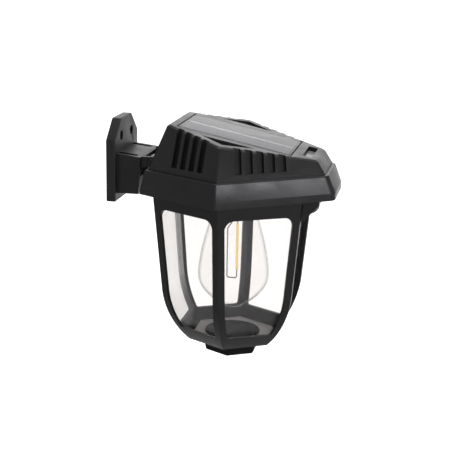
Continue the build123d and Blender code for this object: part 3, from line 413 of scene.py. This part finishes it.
@dataclass(frozen=True)
class SolarCell:
    """Dark silicon with thin pale fingers, a row of silver pads beside the ribbon and a mottle."""

    name: str
    dark: Colour = (0.012, 0.014, 0.028)
    light: Colour = (0.03, 0.034, 0.06)
    finger: Colour = (0.6, 0.6, 0.61)
    pitch_mm: float = 1.9
    finger_mm: float = 0.22
    finger_height_mm: float = 0.02
    crystal_mm: float = 5.0
    crystal_span: Span = (0.1, 0.9)
    silver: Colour = (0.92, 0.92, 0.92)
    pads_y_mm: float = 1.5
    pads_half_mm: float = 1.3
    pad_pitch_mm: float = 7.6
    pad_share: float = 0.72
    smooth: float = 0.25
    rough: float = 0.4
    rough_mm: float = 3.0
    gloss: float = 0.1

    def make(self) -> bpy.types.Material:
        """Builds the material.

        Returns:
            The finished material.
        """
        recipe = Recipe(self.name)
        sockets = {"Vector": recipe.place, "Scale": 1 / (self.crystal_mm * MM)}
        crystal = recipe.add("ShaderNodeTexVoronoi", sockets)
        mottle = recipe.between(crystal.outputs["Distance"], 0.0, 1.0, self.crystal_span)
        axes = recipe.add("ShaderNodeSeparateXYZ", {0: recipe.place}).outputs
        phase = recipe.maths("FRACT", recipe.maths("DIVIDE", axes["X"], self.pitch_mm * MM))
        line = recipe.maths("LESS_THAN", phase, self.finger_mm / self.pitch_mm)
        beside = recipe.maths("ABSOLUTE", recipe.maths("SUBTRACT", axes["Y"], self.pads_y_mm * MM))
        lane = recipe.maths("LESS_THAN", beside, self.pads_half_mm * MM)
        beat = recipe.maths("FRACT", recipe.maths("DIVIDE", axes["X"], self.pad_pitch_mm * MM))
        pads = recipe.maths("MULTIPLY", lane, recipe.maths("LESS_THAN", beat, self.pad_share))
        silicon = recipe.blend(mottle, self.dark, self.light)
        fingered = recipe.blend(line, silicon, self.finger)
        recipe.surface(
            Base_Color=recipe.blend(pads, fingered, self.silver),
            Roughness=recipe.between(recipe.noise(self.rough_mm), self.smooth, self.rough),
            Normal=recipe.relief(line, self.finger_height_mm),
            Specular_IOR_Level=self.gloss,
        )
        return recipe.material


@dataclass(frozen=True)
class CircuitBoard:
    """Solder mask over copper tracks."""

    name: str
    mask: Colour = (0.02, 0.09, 0.04)
    track: Colour = (0.04, 0.16, 0.07)
    track_mm: float = 6.0
    track_height_mm: float = 0.03
    gap_share: float = 0.08
    smooth: float = 0.28
    rough: float = 0.42
    rough_mm: float = 2.0

    def make(self) -> bpy.types.Material:
        """Builds the material.

        Returns:
            The finished material.
        """
        recipe = Recipe(self.name)
        sockets = {
            "Vector": recipe.place,
            "Scale": 1 / (self.track_mm * MM),
            "Mortar Size": self.gap_share,
        }
        tracks = recipe.add("ShaderNodeTexBrick", sockets).outputs["Fac"]
        recipe.surface(
            Base_Color=recipe.blend(tracks, self.mask, self.track),
            Roughness=recipe.between(recipe.noise(self.rough_mm), self.smooth, self.rough),
            Normal=recipe.relief(tracks, self.track_height_mm),
        )
        return recipe.material


@dataclass(frozen=True)
class GlowingFilament:
    """The phosphor coat of a lit filament strip, brighter where its chips lie."""

    name: str
    coat: Colour = (0.62, 0.4, 0.12)
    glow: Colour = (1.0, 0.76, 0.36)
    strength: float = 0.85
    chip_mm: float = 1.6
    between_chips: float = 0.75
    over_chips: float = 1.2
    coat_mm: float = 0.6
    coat_depth_mm: float = 0.05
    smooth: float = 0.45
    rough: float = 0.6
    rough_mm: float = 0.8

    def make(self) -> bpy.types.Material:
        """Builds the material.

        Returns:
            The finished material.
        """
        recipe = Recipe(self.name)
        up = recipe.add("ShaderNodeSeparateXYZ", {0: recipe.place}).outputs["Z"]
        wave = recipe.maths("SINE", recipe.maths("MULTIPLY", up, 2 * math.pi / (self.chip_mm * MM)))
        least, most = self.strength * self.between_chips, self.strength * self.over_chips
        glow = recipe.between(wave, least, most, (-1.0, 1.0))
        recipe.surface(
            Base_Color=(*self.coat, 1.0),
            Roughness=recipe.between(recipe.noise(self.rough_mm), self.smooth, self.rough),
            Normal=recipe.relief(recipe.noise(self.coat_mm), self.coat_depth_mm),
            Emission_Color=(*self.glow, 1.0),
            Emission_Strength=glow,
        )
        return recipe.material


@dataclass(frozen=True)
class StudioSweep:
    """The pale matt sheet that the lantern is shown over."""

    name: str
    colour: Colour = (0.7, 0.7, 0.7)
    roughness: float = 0.9
    lift: float = 0.98
    dim_y: float = 0.15
    bright_y: float = 0.6
    middle_x: float = -0.5
    bright_x: float = 0.95
    dim_x: float = 1.8

    def make(self) -> bpy.types.Material:
        """Builds the material, which glows only behind the lantern.

        Returns:
            The finished material.
        """
        recipe = Recipe(self.name)
        axes = recipe.add("ShaderNodeSeparateXYZ", {0: recipe.place}).outputs
        depth = (self.dim_y, self.bright_y)
        back = recipe.between(axes["Y"], 0.0, self.lift, depth, Fade.SMOOTH)
        aside = recipe.maths("ABSOLUTE", recipe.maths("SUBTRACT", axes["X"], self.middle_x))
        across = recipe.between(aside, 1.0, 0.0, (self.bright_x, self.dim_x), Fade.SMOOTH)
        recipe.surface(
            Base_Color=(*self.colour, 1.0),
            Roughness=self.roughness,
            Emission_Color=(1.0, 1.0, 1.0, 1.0),
            Emission_Strength=recipe.maths("MULTIPLY", back, across),
        )
        return recipe.material


BLACK: Colour = (0.019, 0.019, 0.02)
RUBBED: Colour = (0.09, 0.09, 0.092)


class Finish(Enum):
    """Every finish of the lantern."""

    HOUSING = MouldedPlastic("housing_black", BLACK, RUBBED, roughness=0.33)
    BRACKET = MouldedPlastic("bracket_black", BLACK, RUBBED, roughness=0.43)
    CAGE = MouldedPlastic("cage_black", (0.015, 0.015, 0.016), RUBBED, roughness=0.38, gloss=0.36)
    # Painted shade: the foot is a darker, duller copy of the cage plastic, for its low, downward
    # faces.
    SHADED_FOOT = MouldedPlastic("foot_shaded_black", (0.008, 0.008, 0.009), RUBBED, roughness=0.55, gloss=0.12)
    BUTTON = MouldedPlastic("button_grey", (0.5, 0.5, 0.5), (0.6, 0.6, 0.6), roughness=0.24)
    INNER_BLACK = MouldedPlastic("inner_black", (0.02, 0.02, 0.02), RUBBED, roughness=0.6)
    FLOOR = MouldedPlastic(
        "floor_grey", (0.9, 0.87, 0.85), (0.9, 0.88, 0.86), roughness=0.4,
        grain_mm=1.6, grain_depth_mm=0.12,
    )
    DISC = MouldedPlastic(
        "disc_black", (0.012, 0.011, 0.011), RUBBED, roughness=0.3,
        grain_mm=2.2, grain_depth_mm=1.2, dust=0.8, gloss=0.06,
    )
    NYLON = MouldedPlastic("nylon", (0.66, 0.65, 0.6), (0.7, 0.7, 0.66), roughness=0.5)
    RUBBER = MouldedPlastic("seal_rubber", (0.02, 0.02, 0.02), RUBBED, roughness=0.75)
    # Each clear finish's third colour is its painted outline shade.
    SHADE = ClearSheet(
        "shade_clear", (0.953, 0.945, 0.941), (0.8, 0.79, 0.78),
        head_on=0.035, haze=0.015, dust=0.04, scuff=0.02,
    )
    RESIN = ClearSheet(
        "panel_resin", (0.97, 0.97, 0.98), (0.9, 0.9, 0.9),
        head_on=0.03, gloss_roughness=0.16, mirror_power=7.5, mirror_tint=(0.9, 0.89, 0.9),
    )
    LENS = MouldedPlastic("lens_grey", (0.07, 0.07, 0.07), (0.6, 0.6, 0.6), roughness=0.3)
    BULB = ClearSheet(
        "bulb_clear", (0.994, 0.992, 0.99), (0.08, 0.07, 0.06), rim_power=9.0,
        head_on=0.012, ripple_depth_mm=0.01, dust=0.012, scuff=0.0, mirror_power=11.0,
    )
    CELL = SolarCell("solar_silicon")
    BOARD = CircuitBoard("board_green")
    FILAMENT = GlowingFilament("filament_glow")
    STEEL = Metal("screw_zinc", (0.55, 0.55, 0.56))
    # The hinge bolt's finish: a near-black copy of the screw steel, much darker than the nut and
    # the other screws.
    DARK_STEEL = Metal("bolt_dark", (0.05, 0.05, 0.052), roughness=0.28)
    TIN = Metal("busbar_tin", (0.95, 0.95, 0.95), roughness=0.2)
    CAP = Metal("cap_aluminium", (0.75, 0.75, 0.76), roughness=0.3)
    WIRE = Metal("lead_nickel", (0.8, 0.78, 0.72), roughness=0.4)
    BATTERY = MouldedPlastic("battery_sleeve", (0.03, 0.08, 0.2), (0.2, 0.25, 0.3), roughness=0.3)


Materials = dict[Finish, bpy.types.Material]
Nodes = dict[str, bpy.types.Object]


def natural_spline(knots: Sequence[tuple[float, float]], steps: int) -> np.ndarray:
    """A smooth curve through knots, evenly spaced in the first coordinate.

    The second coordinate is the natural cubic spline through the knots: its second derivatives
    solve the tridiagonal system that makes slopes agree at every inner knot and curvature zero at
    both ends.

    Args:
        knots: (first, second) pairs with the first coordinate rising.
        steps: how many points to return.

    Returns:
        An array of shape (steps, 2).
    """
    x, y = np.array(knots, float).T
    h = np.diff(x)
    system = np.diag(np.r_[1.0, 2 * (h[:-1] + h[1:]), 1.0])
    system += np.diag(np.r_[0.0, h[1:]], 1) + np.diag(np.r_[h[:-1], 0.0], -1)
    slopes = np.diff(y) / h
    bend = np.linalg.solve(system, np.r_[0.0, 6 * np.diff(slopes), 0.0])
    at = np.linspace(x[0], x[-1], steps)
    i = np.clip(np.searchsorted(x, at) - 1, 0, len(h) - 1)
    left = (at - x[i]) / h[i]
    right = 1 - left
    value = right * y[i] + left * y[i + 1]
    value += h[i] ** 2 / 6 * ((right**3 - right) * bend[i] + (left**3 - left) * bend[i + 1])
    return np.stack([at, value], 1)


def surface_mesh(name: str, grid: np.ndarray, loop_u: bool, loop_v: bool) -> bpy.types.Object:
    """A mesh object from a grid of points.

    Faces join each point (i, j) to its neighbours (i+1, j), (i+1, j+1) and (i, j+1), and the last
    row or column joins the first where the grid loops. Points that coincide, as at a pole, are
    merged.

    Args:
        name: the object's name.
        grid: points, of shape (rows, columns, 3).
        loop_u: whether the last row joins the first.
        loop_v: whether the last column joins the first.

    Returns:
        The linked object.
    """
    rows, columns = grid.shape[:2]
    index = np.arange(rows * columns).reshape(rows, columns)
    index = np.vstack([index, index[:1]]) if loop_u else index
    index = np.hstack([index, index[:, :1]]) if loop_v else index
    faces = np.stack([index[:-1, :-1], index[1:, :-1], index[1:, 1:], index[:-1, 1:]], -1)
    mesh = bpy.data.meshes.new(name)
    mesh.from_pydata(grid.reshape(-1, 3).tolist(), [], faces.reshape(-1, 4).tolist())
    work = bmesh.new()
    work.from_mesh(mesh)
    bmesh.ops.remove_doubles(work, verts=work.verts, dist=MERGE_DISTANCE)
    bmesh.ops.recalc_face_normals(work, faces=work.faces)
    work.to_mesh(mesh)
    work.free()
    mesh.shade_smooth()
    made = bpy.data.objects.new(name, mesh)
    bpy.context.scene.collection.objects.link(made)
    return made


def turned(profile: np.ndarray, axis_xy: tuple[float, float], turns: int) -> np.ndarray:
    """Points of a profile turned about an upright axis.

    The point (radius, height) goes to (x + radius cos a, y + radius sin a, height) for each angle
    a of a full circle.

    Args:
        profile: (radius, height) pairs.
        axis_xy: the axis in plan.
        turns: the number of angles.

    Returns:
        A grid of shape (points, turns, 3).
    """
    angle = np.linspace(0, 2 * np.pi, turns, endpoint=False)
    radius, height = profile[:, :1], profile[:, 1:]
    x = axis_xy[0] + radius * np.cos(angle)
    y = axis_xy[1] + radius * np.sin(angle)
    return np.stack([x, y, np.broadcast_to(height, x.shape)], -1)


def finish_piece(
    piece: bpy.types.Object, body: Body, slot: str, material: bpy.types.Material, *stands_for: str
) -> None:
    """Gives a new piece its material, its body and the nodes it stands for.

    Args:
        piece: the new object.
        body: the body it moves with.
        slot: the record's material slot; not used.
        material: its finish.
        stands_for: the CAD nodes that it replaces.
    """
    piece.data.materials.clear()
    piece.data.materials.append(material)
    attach(piece, body.value)
    if stands_for:
        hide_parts(*stands_for)
    LOG.info("%s: %d faces on %s", piece.name, len(piece.data.polygons), body.value)


@dataclass
class Moulding:
    """A CAD piece shown as a merged copy with its sharp edges rounded."""

    node: str
    finish: Finish
    body: Body
    slot: str
    edge_mm: float = 0.35
    segments: int = 2
    sharp_deg: float = 28.0
    flat_deg: float = 0.4
    merge_mm: float = 0.002

    def build(self, materials: Materials, nodes: Nodes) -> None:
        """Copies the node, joins its triangles into faces and rounds its edges.

        Args:
            materials: the material of each finish.
            nodes: the CAD nodes by name.
        """
        work = bmesh.new()
        work.from_mesh(nodes[self.node].data)
        bmesh.ops.remove_doubles(work, verts=work.verts, dist=self.merge_mm * MM)
        flat = math.radians(self.flat_deg)
        bmesh.ops.dissolve_limit(work, angle_limit=flat, verts=work.verts, edges=work.edges)
        mesh = bpy.data.meshes.new(self.node + "_skin")
        work.to_mesh(mesh)
        work.free()
        mesh.shade_smooth()
        mesh.set_sharp_from_angle(angle=math.radians(self.sharp_deg))
        piece = bpy.data.objects.new(self.node + "_skin", mesh)
        bpy.context.scene.collection.objects.link(piece)
        if self.edge_mm > 0:
            bevel = piece.modifiers.new("edges", "BEVEL")
            bevel.width = self.edge_mm * MM
            bevel.segments = self.segments
            bevel.limit_method = "ANGLE"
            bevel.angle_limit = math.radians(self.sharp_deg)
            bevel.harden_normals = True
        finish_piece(piece, self.body, self.slot, materials[self.finish], self.node)


@dataclass
class PhotoCamera:
    """The camera at the photograph's viewing angle."""

    azimuth_deg: float = 11.41
    elevation_deg: float = 14.59
    roll_deg: float = 1.0
    lens_mm: float = 89.9
    sensor_mm: float = 36.0
    place: Triple = (0.29318, -0.95897, 0.17505)

    def build(self) -> None:
        """Places the camera and makes it the scene's own."""
        degrees = (self.azimuth_deg, self.elevation_deg, self.roll_deg)
        turn, lift, roll = (math.radians(angle) for angle in degrees)
        flat = math.cos(lift)
        ahead = Vector((-math.sin(turn) * flat, math.cos(turn) * flat, -math.sin(lift)))
        level = Vector((math.cos(turn), math.sin(turn), 0.0))
        upright = level.cross(ahead)
        right = math.cos(roll) * level + math.sin(roll) * upright
        up = -math.sin(roll) * level + math.cos(roll) * upright
        data = bpy.data.cameras.new("photo_camera")
        data.lens = self.lens_mm
        data.sensor_width = self.sensor_mm
        camera = bpy.data.objects.new("photo_camera", data)
        bpy.context.scene.collection.objects.link(camera)
        turned_axes = Matrix((right, up, -ahead)).transposed()
        camera.matrix_world = Matrix.Translation(Vector(self.place)) @ turned_axes.to_4x4()
        bpy.context.scene.camera = camera


@dataclass(frozen=True)
class SoftBox:
    """One rectangular studio light."""

    name: str
    place: Triple
    aim: Triple
    width: float
    height: float
    radiance: float
    colour: Colour = (1.0, 1.0, 1.0)

    def build(self) -> None:
        """Hangs the light and turns it to its aim."""
        data = bpy.data.lights.new(self.name, "AREA")
        data.shape = "RECTANGLE"
        data.size = self.width
        data.size_y = self.height
        data.energy = self.radiance * math.pi * self.width * self.height
        data.color = self.colour
        light = bpy.data.objects.new(self.name, data)
        bpy.context.scene.collection.objects.link(light)
        place = Vector(self.place)
        turn = (Vector(self.aim) - place).to_track_quat("-Z", "Y")
        light.matrix_world = Matrix.Translation(place) @ turn.to_matrix().to_4x4()


@dataclass
class Studio:
    """Pale sweep, soft lights and a dim surround."""

    floor_z: float = -0.62
    front_y: float = -3.2
    wall_y: float = 2.6
    wall_top: float = 3.4
    half_width: float = 4.5
    bend_radius: float = 0.9
    bend_steps: int = 16
    columns: int = 3
    surround: float = 0.31
    boxes: tuple[SoftBox, ...] = (
        SoftBox("overhead_box", (0.3, 0.6, 2.0), (0.1, 0.2, 0.0), 2.0, 1.4, 1.2),
        SoftBox(
            "right_box", (1.75, -1.06, 0.32), (0.1, 0.0, -0.03), 1.1, 0.3, 10.5, (1.0, 0.985, 1.04)
        ),
    )

    def build(self) -> None:
        """Builds the sweep, the lights and the world."""
        sweep = surface_mesh("studio_sweep", self.sweep_points(), False, False)
        sweep.data.materials.append(StudioSweep("studio_sheet").make())
        for box in self.boxes:
            box.build()
        world = bpy.data.worlds.new("studio_world")
        bpy.context.scene.world = world
        world.use_nodes = True
        backdrop = world.node_tree.nodes["Background"]
        backdrop.inputs["Color"].default_value = (1.0, 1.0, 1.0, 1.0)
        backdrop.inputs["Strength"].default_value = self.surround
        bpy.context.scene.view_settings.view_transform = "Standard"

    def sweep_points(self) -> np.ndarray:
        """The sheet: a floor that turns up into a wall along a quarter circle.

        Along its length the profile is a straight floor, then the arc (wall - r + r sin t,
        floor + r - r cos t), then a straight wall; every point is repeated across the width.

        Returns:
            A grid of shape (points, columns, 3).
        """
        t = np.linspace(0, np.pi / 2, self.bend_steps)
        arc_y = self.wall_y - self.bend_radius + self.bend_radius * np.sin(t)
        arc_z = self.floor_z + self.bend_radius * (1 - np.cos(t))
        y = np.r_[self.front_y, arc_y, self.wall_y]
        z = np.r_[self.floor_z, arc_z, self.wall_top]
        x = np.linspace(-self.half_width, self.half_width, self.columns)
        return np.stack(np.broadcast_arrays(x[None, :], y[:, None], z[:, None]), -1)


@dataclass
class Lamp:
    """The lamp's tapering glass, a thin wall around the filament strip."""

    outline_mm: tuple[tuple[float, float], ...] = (
        (0.0, 13.2), (16.0, 18.6), (36.0, 23.6), (56.0, 28.8), (68.0, 30.9), (80.0, 32.1),
        (88.5, 31.1), (98.9, 24.7), (104.7, 18.4), (109.6, 11.0),
    )
    wall_mm: float = 0.9
    turns: int = 96
    steps: int = 90
    tip_steps: int = 14

    def build(self, materials: Materials) -> None:
        """Builds the glass, as long as the CAD's and about the same axis.

        Args:
            materials: the material of each finish.
        """
        low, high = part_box("bulb_glass")
        axis = ((low.x + high.x) / 2, (low.y + high.y) / 2)
        profile = self.wall_profile(high.z, high.z - low.z)
        glass = surface_mesh("bulb_shell", turned(profile, axis, self.turns), True, True)
        finish_piece(glass, Body.LANTERN, "bulb_glass", materials[Finish.BULB], "bulb_glass")

    def wall_profile(self, top: float, length: float) -> np.ndarray:
        """The closed outline of the glass wall.

        The outer line is a spline through the outline's (depth, radius) knots down to the last
        one, then the half ellipse radius sqrt(1 - u^2) that closes the tip. The inner line is
        the outer one moved in along its normal by the wall's thickness.

        Args:
            top: the height of the glass's open end.
            length: its length down to the tip.

        Returns:
            (radius, height) pairs round the wall, in metres.
        """
        side = natural_spline(self.outline_mm, self.steps) * MM
        depth, radius = side[:, 0], side[:, 1]
        u = np.sin(np.linspace(0, np.pi / 2, self.tip_steps)[1:])
        tip_depth = depth[-1] + (length - depth[-1]) * u
        tip_radius = radius[-1] * np.sqrt(np.maximum(0.0, 1 - u**2))
        depth = np.r_[depth, tip_depth]
        radius = np.r_[radius, tip_radius]
        slope_d = np.gradient(depth)
        slope_r = np.gradient(radius)
        size = np.hypot(slope_d, slope_r)
        inner_radius = np.maximum(0.0, radius - self.wall_mm * MM * slope_d / size)
        inner_depth = depth + self.wall_mm * MM * slope_r / size
        inner_radius[-1] = 0.0
        outer = np.stack([radius, top - depth], 1)
        inner = np.stack([inner_radius, top - inner_depth], 1)
        return np.vstack([outer, inner[::-1]])


@dataclass
class Dressing:
    """A finish for CAD nodes that are shown as they are."""

    finish: Finish
    names: tuple[str, ...]

    def apply(self, materials: Materials, nodes: Nodes) -> None:
        """Puts the finish on every node of the group.

        Args:
            materials: the material of each finish.
            nodes: the CAD nodes by name.
        """
        for name in self.names:
            mesh = nodes[name].data
            mesh.materials.clear()
            mesh.materials.append(materials[self.finish])
            LOG.info("%s: finish %s", name, self.finish.value.name)


PLAIN_NODES = (
    Dressing(Finish.HOUSING, ("base_tray",)),
    Dressing(
        Finish.INNER_BLACK,
        ("lamp_socket", "battery_holder", "tactile_switch", "switch_plunger", "solar_board"),
    ),
    Dressing(Finish.RUBBER, ("panel_seal", "rim_gasket")),
    Dressing(Finish.NYLON, ("hinge_washers",)),
    Dressing(Finish.SHADE, ("clear_shade",)),
    Dressing(Finish.BULB, ("glass_stem",)),
    Dressing(Finish.CELL, ("solar_cells",)),
    Dressing(Finish.TIN, ("cell_busbar",)),
    Dressing(Finish.BOARD, ("control_board", "switch_board", "sensor_board")),
    Dressing(Finish.FILAMENT, ("led_filament",)),
    Dressing(Finish.WIRE, ("filament_wires",)),
    Dressing(Finish.CAP, ("bulb_cap", "pir_sensor")),
    Dressing(Finish.BATTERY, ("battery",)),
    Dressing(Finish.STEEL, ("hinge_nut", "tray_screws", "cage_screws", "sensor_screws")),
    Dressing(Finish.STEEL, ("socket_screws", "board_screws", "switch_board_screws", "foot_screw")),
)

MOULDINGS = (
    Moulding("wall_bracket", Finish.BRACKET, Body.BRACKET, "bracket_plastic"),
    Moulding("hinge_bolt", Finish.DARK_STEEL, Body.BRACKET, "screw_steel", edge_mm=0.1),
    Moulding("roof_housing", Finish.HOUSING, Body.LANTERN, "housing_plastic"),
    Moulding("sensor_housing", Finish.HOUSING, Body.LANTERN, "housing_plastic"),
    Moulding("cage", Finish.CAGE, Body.LANTERN, "cage_plastic"),
    Moulding("cage_foot", Finish.SHADED_FOOT, Body.LANTERN, "cage_plastic"),
    Moulding("floor_plate", Finish.FLOOR, Body.LANTERN, "floor_plastic"),
    Moulding("floor_disc", Finish.DISC, Body.LANTERN, "disc_plastic", edge_mm=0.2),
    Moulding("mode_button", Finish.BUTTON, Body.BUTTON, "button_plastic"),
    Moulding("panel_cover", Finish.RESIN, Body.LANTERN, "clear_resin", edge_mm=0.0),
    Moulding("pir_lens", Finish.LENS, Body.LANTERN, "sensor_lens", edge_mm=0.0),
)


def main() -> None:
    """Dresses the lantern, lights it and places the camera."""
    logging.basicConfig(level=logging.INFO, format="%(name)s %(message)s")
    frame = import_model()
    materials = {finish: finish.value.make() for finish in Finish}
    for group in PLAIN_NODES:
        group.apply(materials, frame["nodes"])
    for moulding in MOULDINGS:
        moulding.build(materials, frame["nodes"])
    Lamp().build(materials)
    PhotoCamera().build()
    Studio().build()


if __name__ == "__main__":
    main()
